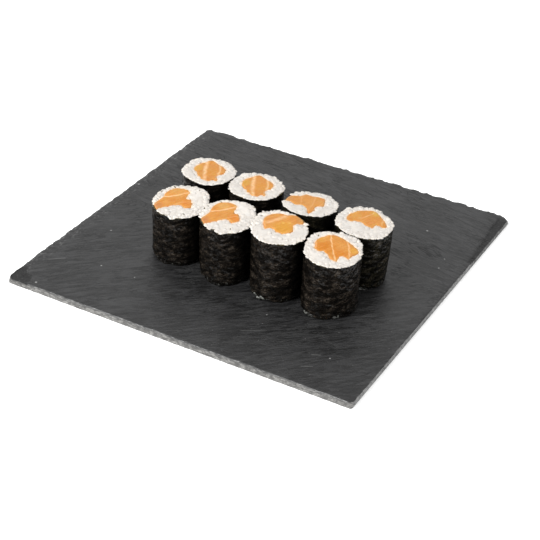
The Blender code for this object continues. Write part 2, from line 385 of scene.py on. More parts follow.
slateSpec = {"half": 100.0, "cells": 200, "edgeFade": 4.0, "bites": 90, "seed": 5, "span": 98.0, "least": 0.06,
             "depths": (0.42, 0.36, 0.62, 0.36), "reach": (0.8, 3.4), "undersideCorner": 1.6,
             "levels": ((3.5, 0.10), (2.6, 0.35), (1.6, 0.15), (0.8, 0.0), (0.3, 0.35), (0.0, 0.9)),
             "corners": {(-1, -1): 3.6, (1, -1): 2.6, (1, 1): 5.0, (-1, 1): 3.0}}
biteSteps = 4  # table entries per millimetre
inward = ((0, 1), (-1, 0), (0, -1), (1, 0))


def biteTables(spec):  # how deep the edge is chipped, all along each side
    rng = random.Random(spec["seed"])
    places = np.arange(-spec["half"], spec["half"] + 1 / biteSteps, 1 / biteSteps)
    tables = []
    for depth in spec["depths"]:
        table = np.full(len(places), spec["least"])
        for _ in range(spec["bites"]):
            middle, reach = rng.uniform(-spec["span"], spec["span"]), rng.uniform(*spec["reach"])
            deep = depth * rng.uniform(0.25, 1.0)
            inside = np.clip(1 - ((places - middle) / reach) ** 2, 0, 1)
            table = np.maximum(table, deep * np.sqrt(inside))
        tables.append(table)
    return tables


def biteAt(side, along):
    table = bites[side]
    where = (along + slateSpec["half"]) * biteSteps
    low = int(min(max(where, 0), len(table) - 2))
    return table[low] + (table[low + 1] - table[low]) * min(1, where - low)


def sideFrames(x, y):  # each side's place along it and distance from it
    half = slateSpec["half"]
    return ((x, half + y), (y, half - x), (-x, half - y), (-y, half + x))


def slatePlace(x, y, level):  # where a point of the square ends up; level None is the upper face
    spec = slateSpec
    height, back = (boardTop, 0.0) if level is None else spec["levels"][level]
    share = height / boardTop
    moveX = moveY = drop = chipped = 0.0
    for side, (along, away) in enumerate(sideFrames(x, y)):
        near = 1 - smoothstep(away, 0, spec["edgeFade"])
        if near <= 0:
            continue
        bite = inset = biteAt(side, along)
        if level is not None:
            coarse = 0.18 * ripple(along / 2.1, height * 1.3, side * 9.0)
            fine = 0.1 * ripple(along / 0.9, height * 2, side)
            inset = max(0.0, bite * share ** 2 + back + (coarse + fine))
        moveX += inward[side][0] * inset * near
        moveY += inward[side][1] * inset * near
        rim = 1 - smoothstep(away, 0, 0.5 + 1.8 * bite)
        drop = max(drop, 0.9 * bite * rim)
        chipped = max(chipped, rim * smoothstep(bite, 0.15, 0.4))
    newX, newY = x + moveX, y + moveY
    signs = (1 if x > 0 else -1, 1 if y > 0 else -1)
    cut = spec["corners"][signs]
    if level is not None:
        cut = spec["undersideCorner"] + (cut - spec["undersideCorner"]) * share ** 2
    over = abs(newX) + abs(newY) - (2 * spec["half"] - cut)
    if over > 0:
        newX -= signs[0] * over / 2
        newY -= signs[1] * over / 2
    if level is None:
        return newX, newY, boardTop - drop - relief(x, y), chipped
    return newX, newY, height - drop * share * 0.6, 1.0


def relief(x, y):  # hollows of the upper face
    turn = math.radians(42 - 40 * smoothstep(y, -5, 30))
    along, across = x * math.cos(turn) + y * math.sin(turn), y * math.cos(turn) - x * math.sin(turn)
    across += 2.2 * ripple(x / 17, y / 17, 5.0)
    patch = smoothstep(ripple(x / 22, y / 22, 2.0), -0.35, 0.35)
    ridge = abs(ripple(along / 15, across / 3.6, 0.0)) + 0.5 * abs(ripple(along / 6, across / 1.5, 3.0))
    hollow = 0.05 + (0.05 + 0.22 * patch) * ridge + 0.06 * (1 + ripple(x / 30, y / 30, 7.0))
    return hollow + 0.8 * flaked(x, y)


def flaked(x, y):  # where a layer has come away: the corner at -X -Y and a strip along +X
    corner = math.hypot(x + 100, y + 100) + 3 * ripple(x / 4, y / 4, 9.0)
    strip = x - 94 - 3.2 * smoothstep(95 - y, 0, 52) - 0.7 * ripple(y / 5, 0.0, 4.0)
    strip = smoothstep(strip, 0, 0.8) * smoothstep(y, 40, 46) * (1 - smoothstep(y, 94, 97))
    return max(1 - smoothstep(corner, 12.5, 13.5), strip)


def buildSlate(spec):
    bm = bmesh.new()
    home = bm.verts.layers.float_vector.new("home")
    worn = bm.verts.layers.float.new("chipped")
    flake = bm.verts.layers.float.new("flaked")
    bmesh.ops.create_grid(bm, x_segments=spec["cells"], y_segments=spec["cells"], size=spec["half"])
    for vert in bm.verts:
        vert[home] = vert.co
    rings = []
    edges = [edge for edge in bm.edges if edge.is_boundary]
    for level in range(len(spec["levels"])):
        made = bmesh.ops.extrude_edge_only(bm, edges=edges)["geom"]
        rings.append([item for item in made if isinstance(item, bmesh.types.BMVert)])
        edges = [item for item in made if isinstance(item, bmesh.types.BMEdge) and item.is_boundary]
    bmesh.ops.holes_fill(bm, edges=edges, sides=0)
    lower = {vert: level for level, ring in enumerate(rings) for vert in ring}
    for vert in bm.verts:
        x, y, _ = vert[home]
        newX, newY, z, chipped = slatePlace(x, y, lower.get(vert))
        vert.co = Vector((newX, newY, z)) * mm
        vert[worn] = chipped
        vert[flake] = flaked(x, y)
    bmesh.ops.recalc_face_normals(bm, faces=bm.faces)
    return bm


bites = biteTables(slateSpec)

slateLook = {"dark": (0.006, 0.006, 0.0062), "light": (0.026, 0.026, 0.0268), "seam": (0.006, 0.006, 0.006),
             "dust": (0.2, 0.2, 0.2), "crack": (0.012, 0.012, 0.012), "mark": (0.42, 0.42, 0.41),
             "pitShade": (0.002, 0.002, 0.002), "grit": (0.10, 0.10, 0.10), "rock": (0.06, 0.058, 0.055),
             "edge": (0.25, 0.245, 0.232), "shadedSideDark": (0.045, 0.045, 0.045), "shadedSidePale": (0.17, 0.17, 0.165),
             "rim": (0.035, 0.035, 0.034), "ledge": (0.05, 0.05, 0.05),
             # streaks are a turn, a length, a width, a detail and a distortion
             "lower": (42, 15, 2.4, 2.6, 1.5), "upper": (-8, 17, 2.6, 2.6, 1.5), "fine": (30, 2.6, 0.9, 4.0, 1.5),
             "lowerSeams": (43, 22, 4.0, 3.0, 0.7), "upperSeams": (-12, 24, 4.4, 3.0, 0.7),
             "cracks": (((-61, -79), (-41, -55), 0.8, 0.45, 0.8),
                        ((-44, -57), (-35, -49), -0.5, 0.35, 0.6)),
             "scratches": (((-92, -75), (-85, -69), 0.0, 0.3, 0.22),
                           ((27, -77), (37, -70), 0.0, 0.3, 0.16),
                           ((66, -76), (70, -74), 0.0, 0.3, 0.22),
                           ((66, -87), (71, -84), 0.0, 0.3, 0.18)),
             "specks": ((66, 61, 0.8), (86, 39, 0.6), (87, 29, 0.6), (-81, -33, 0.6), (-65, -65, 0.6),
                        (-44, -65, 0.5), (31, -58, 0.5), (75, -74, 0.6), (-97, 18, 0.9), (-84, -96, 0.8),
                        (-92, -94, 0.6), (-95, -90, 0.5))}


def slateMarks(place, x, y, look):  # scratches, specks, the scuffed -X edge and pale dots
    marks = sum(stroke(x, y, line) for line in look["scratches"])
    flat = place.node("ShaderNodeCombineXYZ", {"X": x, "Y": y})
    for spotX, spotY, size in look["specks"]:
        marks = marks + fade(awayFrom(flat, spotX, spotY), size * 0.3, size, 0.7, 0.0)
    scuff = fade(noiseAt(mapped(place, scale=(0.9, 0.35, 0.3)), 1.0, 5.0, 0.7), 0.52, 0.70)
    marks = marks + scuff * fade(x, -99.0, -90.0, 1.0, 0.0) * fade(y, -60.0, 60.0, 0.35, 0.45)
    marks = marks + fade(noiseAt(place, 1.1, 2.0), 0.73, 0.78) * fade(x - y, 40.0, 110.0, 0.1, 0.6)
    return marks.math("MINIMUM", marks, 1.0)


def brokenRock(place, x, y, z, missing, look):  # the chipped edge, darker towards its top; its +X side is darker, partly the rock's own tone and partly painted shade for the side turned from the light
    layers = noiseAt(mapped(place, scale=(0.25, 0.25, 1.1)), 1.0, 5.0, 0.7)
    broken = fade(noiseAt(place, 0.4, 5.0, 0.7), 0.36, 0.60)
    rock = blend(fade(layers, 0.38, 0.60) * broken, look["rock"], look["edge"])
    # painted shade: the chipped side along +X takes darker colours, partly its own rock tone
    shadedSide = fade(x, 97.0, 99.0) * fade(y, -99.0, -97.0)
    rock = blend(shadedSide, rock, blend(broken, look["shadedSideDark"], look["shadedSidePale"]))
    rock = blend(fade(z - broken, 1.2, 3.6, 0.0, 0.85), rock, look["rim"])
    return blend(missing * fade(z, 3.0, 3.4), rock, look["ledge"])


def slateMaterial(look):
    material = newMaterial("slate_grey")
    place = objectPlace(material.node_tree)
    x, y, z = split(place)
    side = fade(y + (noiseAt(place, 0.03) - 0.5) * 60, -14.0, 26.0)  # 0 before the rolls, 1 behind them
    grain = streaks(place, *look["lower"]) * (1 - side) + streaks(place, *look["upper"]) * side
    cleft = streaks(place, *look["lowerSeams"]) * (1 - side) + streaks(place, *look["upperSeams"]) * side
    fine = streaks(place, *look["fine"])
    patches = fade(noiseAt(mapped(place, move=(40, 0, 0)), 0.06, 3.0), 0.42, 0.6)
    seams = fade(abs(cleft - 0.5), 0.0, 0.045, 1.0, 0.0) * (patches * 0.75 + 0.25)
    tone = fade(grain * 0.9 + fine * 0.3 + noiseAt(place, 0.045, 4.0) * 0.3, 0.64, 0.88)
    colour = blend(tone, look["dark"], look["light"])
    colour = blend(seams * 0.7, colour, look["seam"])
    dust = fade(noiseAt(place, 1.3, 5.0, 0.7), 0.60, 0.76)
    colour = blend(dust * 0.22, colour, look["dust"])
    colour = blend(sum(stroke(x, y, line) for line in look["cracks"]) * 0.7, colour, look["crack"])
    colour = blend(slateMarks(place, x, y, look), colour, look["mark"])
    missing = attributeAt(place, "flaked")
    grit = fade(noiseAt(place, 0.9, 4.0, 0.7), 0.55, 0.72)
    # partly painted shade: the flaked hollows go near-black, partly their own dark grit and partly the shade of the
    # hollow
    colour = blend(fade(missing, 0.3, 0.7), colour, blend(grit * 0.5, look["pitShade"], look["grit"]))
    worn = fade(attributeAt(place, "chipped") + noiseAt(place, 0.9) * 0.5, 0.6, 1.0)
    colour = blend(worn, colour, brokenRock(place, x, y, z, missing, look))
    height = grain * 1.1 + fine * 0.5 + noiseAt(place, 2.0, 5.0, 0.65) * 0.5 - seams * 0.9
    gloss = fade(noiseAt(place, 0.5, 4.0), 0.3, 0.7, 0.35, 0.43) + seams * 0.3 + missing * 0.3
    return finishMaterial(material, colour, gloss, height, 0.00013, Specular_IOR_Level=0.8)


addPiece("slate", buildSlate(slateSpec), slateMaterial(slateLook), ["slate_board"])
print("slate done")

# Nori: a wrinkled tube round each roll, thickened inwards

noriSpec = {"around": 208, "levels": 72, "thick": 0.4, "rim": 0.35, "out": 14.6, "fray": 34, "press": (-1.0, 0.45),
            "neighbourShade": (1.5, 11.0), "olive": ("back_3", "back_4")}


def rimNotch(roll, turn):
    if roll["kind"] != "hook":
        return 0.0
    raised, dipped = abs(turnBetween(turn, 269)), abs(turnBetween(turn, 285))
    return 0.5 * (1 - smoothstep(raised, 3, 8)) - 0.8 * (1 - smoothstep(dipped, 2, 8))


def wrinkle(roll, x, y, z, height):  # millimetres outward
    seed = roll["seed"]
    broad = 0.30 * ripple(x / 9, y / 9, z / 13, seed)
    pressed = 0.22 * ripple(x / 4.2, y / 4.2, z / 3.2, seed + 3)
    folded = abs(ripple(x / 6.0, y / 6.0, (z + 0.35 * x) / 2.6, seed + 7))
    finer = abs(ripple(x / 2.6, y / 2.6, (z - 0.3 * y) / 1.2, seed + 11))
    crumple = 0.6 * ripple(x / 3.6, y / 3.6, z / 2.4, seed + 17) * (1 - smoothstep(height, 1.0, 6.0))
    crumple += 0.4 * ripple(x / 1.5, y / 1.5, z / 1.4, seed + 19) * (1 - smoothstep(height, 0.6, 4.0))
    return broad + pressed - 0.5 * folded - 0.18 * finer + crumple


def held(swell, most=noriSpec["press"][1]):  # how far the swelling rice moves the wrap
    return max(noriSpec["press"][0], min(most, swell))


def footHeight(roll, turn, spec):
    seed = roll["seed"]
    where, worn = roll["fray"]
    torn = worn * max(0.0, 1 - abs(turnBetween(turn, where)) / spec["fray"])
    even = boardTop + 0.12 + 0.12 * (1 + ripple(turn / 7, 1.0, 0.0, seed))
    return even + torn * (0.8 + 0.5 * ripple(turn / 3, 2.0, 0.0, seed))


def rimHeight(roll, turn, spec):
    aim = aimAt(turn)
    x, y = spec["out"] * aim.x, spec["out"] * aim.y
    ragged = 0.28 * ripple(turn / 9, 3.0, 0.0, roll["seed"]) + 0.16 * ripple(turn / 3.2, 5.0, 0.0, roll["seed"])
    high = faceHeight(roll, x, y) - spec["rim"] + ragged + rimNotch(roll, turn)
    return high + 0.6 * lifting(roll, x, y)


def wallPlace(roll, turn, share, spec):  # a point of the wrap and how far it lies under the rim
    aim = aimAt(turn)
    low, high = footHeight(roll, turn, spec), rimHeight(roll, turn, spec)
    z = low + (high - low) * share
    foot = measureSpec["foot"]
    rise = min(0.97, max(0.02, (z - boardTop - foot) / (high - boardTop - foot)))
    radius = wrapRadius(roll, turn, rise)
    spread = (1 - smoothstep(high - z, 1, 11)) * held(swelling(roll, turn))
    radius += spread + wrinkle(roll, aim.x * radius, aim.y * radius, z, z - low)
    radius -= 0.25 * (1 - smoothstep(high - z, 0, 1.0))  # the rim turns in a little
    radius += flaring(roll, turn) * (1 - smoothstep(z - boardTop, 0, 15))
    wall = axisAt(roll, rise) + aim * radius
    return wall.x, wall.y, z, high - z


def roomAround(others, x, y):  # from a point of the wrap to the nearest other roll
    return min(math.hypot(x - otherX, y - otherY) for otherX, otherY in others) - rollRadius


def layOutSheet(bm, rounds):  # the wrap's UV map is its sheet laid flat, in millimetres
    uv = bm.loops.layers.uv["sheet"]
    full = math.tau * rollRadius
    for face in bm.faces:
        arcs = [rounds[loop.vert][0] for loop in face.loops]
        closing = max(arcs) - min(arcs) > full / 2
        for loop in face.loops:
            arc, z = rounds[loop.vert]
            loop[uv].uv = (arc + full if closing and arc < full / 2 else arc, z)


def buildNori(roll, spec):
    bm = bmesh.new()
    bmesh.ops.create_cone(bm, cap_ends=False, segments=spec["around"], radius1=1, radius2=1, depth=1)
    uprights = [edge for edge in bm.edges if abs(edge.verts[0].co.z - edge.verts[1].co.z) > 0.5]
    bmesh.ops.subdivide_edges(bm, edges=uprights, cuts=spec["levels"], use_grid_fill=True)
    bm.loops.layers.uv.new("sheet")
    rimGap = bm.verts.layers.float.new("rimGap")
    neighbourShade = bm.verts.layers.float.new("neighbourShade")
    others = [other["at"] for other in rolls.values() if other is not roll]
    step = 360 / spec["around"]
    rounds = {}
    for vert in bm.verts:
        past = (turnOf(vert.co.x, vert.co.y) + step / 4) % 360 - step / 4
        x, y, z, gap = wallPlace(roll, roll["seam"] + past + step / 2, vert.co.z + 0.5, spec)
        vert[rimGap] = gap
        # painted shade: the wrap is marked for darkening where another roll stands close
        vert[neighbourShade] = 1 - smoothstep(roomAround(others, x, y), *spec["neighbourShade"])
        rounds[vert] = (past * math.radians(1) * rollRadius, z)
        vert.co = Vector((x, y, z)) * mm
    layOutSheet(bm, rounds)
    bmesh.ops.recalc_face_normals(bm, faces=bm.faces)
    middle = middleOf(roll) * mm
    if sum(face.normal.dot(face.calc_center_median() - middle) for face in bm.faces) < 0:
        bmesh.ops.reverse_faces(bm, faces=bm.faces)
    return bm


noriLook = {"neighbourShade": (0.0006, 0.0005, 0.0004), "black": (0.0028, 0.0022, 0.0016), "brown": (0.0100, 0.0075, 0.0054),
            "green": (0.0120, 0.0120, 0.0050), "pale": (0.095, 0.076, 0.058), "footGlint": (0.20, 0.21, 0.19),
            "cut": (0.150, 0.120, 0.055), "lean": -12.0, "mottles": (0.18, 0.34, 1), "crinkles": (0.40, 0.95, 1),
            "footGlintSpots": (0.55, 0.9, 1), "glints": (0.45, 0.7, 1)}


def noriMaterial(name, look, tone):
    material = newMaterial(name)
    sheet = Signal(material.node_tree).node("ShaderNodeUVMap", uv_map="sheet")
    leaning = mapped(sheet, turn=look["lean"])
    rise = split(sheet)[1]
    gap, neighbourShade = attributeAt(sheet, "rimGap"), attributeAt(sheet, "neighbourShade")
    mottled = noiseAt(mapped(leaning, scale=look["mottles"]), 1.0, 6.0, 0.66, 0.6)
    colour = blend(fade(mottled, 0.38, 0.70), look["black"], look[tone])
    crinkle = noiseAt(mapped(leaning, scale=look["crinkles"]), 1.0, 3.0, 0.5, 0.8)
    ridge = 1 - abs(crinkle - 0.5) * 10
    ridge = ridge.math("MAXIMUM", ridge, 0.0)
    # painted highlight: pale colour on the crinkle ridges stands for their glints
    crestHighlight = fade(ridge, 0.0, 1.0) * fade(mottled, 0.46, 0.66)
    grainy = fade(noiseAt(sheet, 1.6, 3.0, 0.6), 0.35, 0.65, 0.35, 1.0)
    colour = blend(crestHighlight * grainy, colour, look["pale"])
    # painted shade: the wrap is darkened where it faces a neighbouring roll
    colour = blend(neighbourShade * 0.85, colour, look["neighbourShade"])
    cut = fade(gap + noiseAt(sheet, 0.5) * 0.7, 0.40, 0.85, 1.0, 0.0)
    colour = blend(cut * 0.8, colour, look["cut"])
    # painted highlight: pale spots low on the wrap stand for glints on its crumpled foot
    footGlintSpots = fade(noiseAt(mapped(sheet, scale=look["footGlintSpots"]), 1.0, 3.0), 0.60, 0.70)
    colour = blend(footGlintSpots * fade(rise, 4.6, 8.0, 1.0, 0.0) * 0.8, colour, look["footGlint"])
    glints = fade(noiseAt(mapped(leaning, scale=look["glints"]), 1.0, 4.0, 0.65, 1.0), 0.42, 0.66)
    higher = fade(rise + mottled * 8, 9.0, 14.0)
    shine = glints * (1.0 - higher * 0.4) * (1.0 - neighbourShade * 0.6)
    gloss = fade(mottled, 0.35, 0.65, 0.45, 0.60)
    height = ridge * 0.5 + noiseAt(sheet, 0.8, 6.0, 0.7) * 1.4
    return finishMaterial(material, colour, gloss, height, 0.0005, shine, Coat_Roughness=0.2,
                          Specular_IOR_Level=0.02)


brownSheet = noriMaterial("nori_sheet", noriLook, "brown")
oliveSheet = noriMaterial("nori_sheet_olive", noriLook, "green")
for name, roll in rolls.items():
    sheet = oliveSheet if name in noriSpec["olive"] else brownSheet
    wrap = addPiece("nori_wrap_" + name, buildNori(roll, noriSpec), sheet, ["nori_" + name])
    thicken(wrap, noriSpec["thick"])
print("nori done")

# Rice: cooked grains pressed over a core, cut level at the face

riceSpec = {"grain": (2.8, 1.5, 1.25), "spacing": 2.05, "reach": 9, "jitter": 0.5, "seed": 40,
            "layers": ((0.0, 0.0), (-0.8, 1.05)), "rimStep": 1.9, "rimOut": 14.5, "bulge": 0.6, "tuck": 0.85,
            "overlap": (0.0, 0.8), "cut": (0.04, 0.11), "skin": 0.2, "squash": 0.12,
            "slit": ((4.6, 14.6), (7.4, 9.3), 0.3), "rings": (0.93, 0.85, 0.76, 0.66, 0.55, 0.43, 0.3, 0.16)}


def addGrain(bm, roll, place, turn, lean, size, rng):
    grown = Matrix.Diagonal((*(value * size * rng.uniform(0.9, 1.1) for value in riceSpec["grain"]), 1))
    turned = Matrix.Rotation(turn, 4, "Z") @ Matrix.Rotation(lean, 4, "Y")
    pose = Matrix.Translation(Vector(place)) @ turned @ grown
    made = bmesh.ops.create_uvsphere(bm, u_segments=8, v_segments=6, radius=1, matrix=pose)
    cutAt, overlap = rng.uniform(*riceSpec["cut"]), rng.uniform(*riceSpec["overlap"])
    for vert in made["verts"]:
        vert.co = settled(roll, vert.co, cutAt, overlap)


def settled(roll, co, cutAt, overlap):  # keep a grain's point inside the wrap, off the salmon and near the cut
    spec = riceSpec
    x, y, z = co
    deep = fishDepth(roll, x, y) - overlap
    if deep > 0:
        x, y = offSalmon(roll, x, y, deep)
    if roll["kind"] == "slab":
        x, y = slitApart(x, y, spec["slit"])
    radius, turn = math.hypot(x, y), turnOf(x, y)
    rim = faceHeight(roll, x, y) - noriSpec["rim"] + rimNotch(roll, turn)
    outer, swell = topRadius(roll, turn), swelling(roll, turn)
    inWrap = outer - spec["tuck"] + held(swell)
    overWrap = outer + spec["bulge"] + swell
    limit = inWrap + (overWrap - inWrap) * smoothstep(z, rim - 0.1, rim + 0.35)
    if radius > limit:
        x, y = x * limit / radius, y * limit / radius
    level = faceLevel(roll, x, y) + 0.12 * ripple(x / 3.5, y / 3.5, 0.0, roll["seed"]) + cutAt
    if z > level - spec["skin"]:
        z = level - spec["skin"] + (z - level + spec["skin"]) * spec["squash"]
    return Vector((x, y, z))


def offSalmon(roll, x, y, deep, reach=0.4):  # move a point out, square to the salmon's outline
    slopeX = fishDepth(roll, x + reach, y) - fishDepth(roll, x - reach, y)
    slopeY = fishDepth(roll, x, y + reach) - fishDepth(roll, x, y - reach)
    steep = math.hypot(slopeX, slopeY) or 1.0
    return x - deep * slopeX / steep, y - deep * slopeY / steep


def slitApart(x, y, slit):  # push a point off a short gap between two lobes
    (ax, ay), (bx, by), half = slit
    length = math.hypot(bx - ax, by - ay)
    along = ((x - ax) * (bx - ax) + (y - ay) * (by - ay)) / length ** 2
    across = ((x - ax) * (by - ay) - (y - ay) * (bx - ax)) / length
    if not 0 < along < 1 or abs(across) > half:
        return x, y
    push = math.copysign(half, across) - across
    return x + push * (by - ay) / length, y - push * (bx - ax) / length


def addFaceGrains(bm, roll, spec, rng):
    cells = range(-spec["reach"], spec["reach"] + 1)
    spacing, jitter = spec["spacing"], spec["jitter"]
    for drop, shift in spec["layers"]:
        for row in cells:
            for column in cells:
                x = (column + 0.5 * (row % 2)) * spacing + shift + rng.uniform(-jitter, jitter)
                y = row * spacing * 0.87 + shift * 0.6 + rng.uniform(-jitter, jitter)
                turn = turnOf(x, y)
                room = topRadius(roll, turn) + min(0.6, swelling(roll, turn)) - 1.3
                if math.hypot(x, y) > room or fishDepth(roll, x, y) > -0.45:
                    continue
                z = faceLevel(roll, x, y) + drop - 0.55 + rng.uniform(-0.2, 0.2)
                turn, lean, size = rng.uniform(0, math.tau), rng.gauss(0, 0.5), rng.uniform(0.85, 1.1)
                addGrain(bm, roll, (x, y, z), turn, lean, size, rng)


def addRimGrains(bm, roll, spec, rng):
    steps = int(360 / math.degrees(spec["rimStep"] / spec["rimOut"]))
    for tier in range(2):
        for step in range(steps):
            turn = (step + 0.5 * tier) * 360 / steps + rng.uniform(-2, 2)
            out = topRadius(roll, turn) + swelling(roll, turn) - rng.uniform(0.75, 1.25) - 0.3 * tier
            x, y = out * math.cos(math.radians(turn)), out * math.sin(math.radians(turn))
            if fishDepth(roll, x, y) > -0.3:
                continue
            z = faceLevel(roll, x, y) - 0.75 - 0.9 * tier + rng.uniform(-0.3, 0.3)
            aim = math.radians(turn + 90 + rng.gauss(0, 35))
            addGrain(bm, roll, (x, y, z), aim, rng.gauss(0, 0.3), rng.uniform(0.8, 1.0), rng)


def addCore(bm, roll, spec):  # a plain plug of rice under the grains
    made = bmesh.ops.create_cone(bm, cap_ends=False, segments=120, radius1=1, radius2=1, depth=1)
    rims = [edge for edge in bm.edges if edge.is_boundary]
    top = [edge for edge in rims if edge.verts[0].co.z > 0]
    bottom = [edge for edge in rims if edge.verts[0].co.z < 0]
    shares = dict.fromkeys(made["verts"], 1.0)
    for share in spec["rings"]:
        inner = bmesh.ops.extrude_edge_only(bm, edges=top)["geom"]
        top = [item for item in inner if isinstance(item, bmesh.types.BMEdge) and item.is_boundary]
        shares.update({item: share for item in inner if isinstance(item, bmesh.types.BMVert)})
    bmesh.ops.holes_fill(bm, edges=top, sides=0)
    bmesh.ops.holes_fill(bm, edges=bottom, sides=0)
    for vert, share in shares.items():
        rise = vert.co.z + 0.5
        turn = turnOf(vert.co.x, vert.co.y)
        radius = (topRadius(roll, turn) - 1.0 + held(swelling(roll, turn), 0.3)) * share
        x, y = vert.co.x * radius, vert.co.y * radius
        if rise < 0.5:
            lean = axisAt(roll, rise) - axisAt(roll, 1.0)
            vert.co = Vector((x * 0.9 + lean.x, y * 0.9 + lean.y, boardTop + 0.4))
            continue
        edge = 0.7 * smoothstep(share, 0.9, 1.0)
        under = 1.6 * smoothstep(fishDepth(roll, x, y), -0.9, 0.1)  # keeps the core below the salmon
        level = faceLevel(roll, x, y) + 0.06 * ripple(x / 2.2, y / 2.2, 0.0, roll["seed"])
        vert.co = Vector((x, y, level - edge - under))


def buildRice(roll, spec):
    rng = random.Random(spec["seed"] + roll["seed"])
    bm = bmesh.new()
    blush = bm.verts.layers.float.new("blush")
    addFaceGrains(bm, roll, spec, rng)
    addRimGrains(bm, roll, spec, rng)
    addCore(bm, roll, spec)
    middle = middleOf(roll)
    for vert in bm.verts:
        vert[blush] = max(0.0, 1 + fishDepth(roll, vert.co.x, vert.co.y) / 1.6)
        vert.co = (vert.co + middle) * mm
    return bm


riceLook = {"white": (0.800, 0.735, 0.660), "clear": (0.755, 0.698, 0.632), "blush": (0.82, 0.57, 0.37)}


def riceMaterial(look):
    material = newMaterial("rice_cooked")
    place = objectPlace(material.node_tree)
    patches = fade(noiseAt(place, 0.42, 3.0), 0.35, 0.65)
    colour = blend(patches, look["white"], look["clear"])
    tint = attributeAt(place, "blush")
    colour = blend(fade(tint, 0.15, 1.0, 0.0, 0.55), colour, look["blush"])
    return finishMaterial(material, colour, 0.38, noiseAt(place, 1.6, 3.0), 0.0001, Subsurface_Weight=0.25,
                          Subsurface_Radius=(1.0, 0.85, 0.7), Subsurface_Scale=0.0007, Specular_IOR_Level=0.45)


cooked = riceMaterial(riceLook)
for name, roll in rolls.items():
    addPiece("rice_grains_" + name, buildRice(roll, riceSpec), cooked, ["rice_" + name])
print("rice done")

# Salmon: each strip's face is gridded for its rounded edge and flakes

salmonSpec = {"grid": 0.55, "edge": 0.8, "round": 0.12, "flake": 0.14, "sink": 0.36, "footShare": 0.84}

# Each kind of face: lines of fat, and tints as a place, a size and a colour

fishLooks = {
    "hook": {"lines": (((-9.8, -1.2), (0.2, 10.2), -0.8, 0.75, 0.85),
                       ((-1.8, -4.2), (5.2, 2.8), 0.4, 0.4, 0.3)),
             "tints": ((4.0, 0.5, 4.0, (0.611, 0.198, 0.0264)), (-9.0, -10.5, 5.0, (0.489, 0.198, 0.078)),
                       (-6.5, 7.0, 4.5, (0.611, 0.317, 0.0888)))},
    "block": {"lines": (((-8.8, 0.2), (-2.4, 10.8), -0.5, 1.5, 0.6),
                        ((-8.9, -0.6), (-6.4, -4.4), 0.2, 0.4, 0.4)),
              "tints": ((-8.5, 5.5, 4.0, (0.573, 0.247, 0.06)), (1.5, 1.0, 7.0, (0.62, 0.297, 0.0324)),
                        (5.5, 12.0, 3.0, (0.498, 0.247, 0.078)), (-0.8, 4.6, 1.0, (0.696, 0.416, 0.0948)),
                        (2.1, 6.1, 1.0, (0.696, 0.416, 0.0948)))},
    "fan": {"lines": (((-6.2, 9.2), (5.4, -8.2), -0.3, 0.5, 0.75),
                      ((1.9, 10.4), (10.3, -3.6), 0.9, 0.5, 0.6),
                      ((-10.6, 1.6), (-8.2, -3.6), 0.3, 0.4, 0.5)),
            "tints": ((-4.0, -1.0, 7.0, (0.573, 0.188, 0.012)), (5.0, -2.0, 5.0, (0.573, 0.188, 0.0144)),
                      (9.5, 4.0, 3.5, (0.611, 0.317, 0.048)), (-9.0, 4.0, 3.0, (0.611, 0.297, 0.054)))},
    "slab": {"lines": (((-6.6, 9.2), (3.4, -10.2), -0.7, 1.25, 0.85),
                       ((0.9, 10.0), (7.6, -5.6), 0.7, 0.8, 0.7),
                       ((-7.4, 8.2), (-9.4, 1.0), 0.2, 0.5, 0.2)),
             "tints": ((-7.5, 0.0, 4.5, (0.611, 0.327, 0.054)), (2.0, 0.0, 5.0, (0.611, 0.267, 0.0444)),
                       (5.0, -8.0, 3.5, (0.573, 0.228, 0.048)))},
    "arrow": {"lines": (((-1.5, 8.4), (2.4, -8.6), 0.3, 0.5, 0.3),
                        ((-9.0, 5.6), (-4.0, -4.4), 0.2, 0.5, 0.25),
                        ((4.8, 5.0), (4.4, -6.0), 0.2, 0.35, 0.35)),
              "tints": ((-14.5, -1.5, 5.0, (0.517, 0.247, 0.078)), (1.5, 3.0, 6.0, (0.611, 0.277, 0.06)))},
    "cap": {"lines": (((-4.6, 1.9), (0.2, 11.4), -0.9, 0.45, 0.5),
                      ((5.8, 9.0), (8.6, 2.0), 0.3, 0.5, 0.35)),
            "tints": ((1.5, 10.5, 3.6, (0.62, 0.356, 0.06)), (2.5, 2.0, 5.0, (0.611, 0.247, 0.054)),
                      (-7.5, 4.0, 4.5, (0.611, 0.297, 0.0648)))},
}


def gridFace(bm, cap, grid):  # cut a face into squares and return its vertices
    patch = [cap]
    for axis in (Vector((1, 0, 0)), Vector((0, 1, 0))):
        spans = [vert.co.dot(axis) for face in patch for vert in face.verts]
        where = min(spans) + grid
        while where < max(spans) - 0.2 * grid:
            verts = {vert for face in patch for vert in face.verts}
            edges = {edge for face in patch for edge in face.edges}
            cut = bmesh.ops.bisect_plane(bm, geom=[*verts, *edges, *patch], dist=1e-7, plane_co=axis * where,
                                         plane_no=axis)
            patch = [item for item in cut["geom"] if isinstance(item, bmesh.types.BMFace)]
            where += grid
    return {vert for face in patch for vert in face.verts}


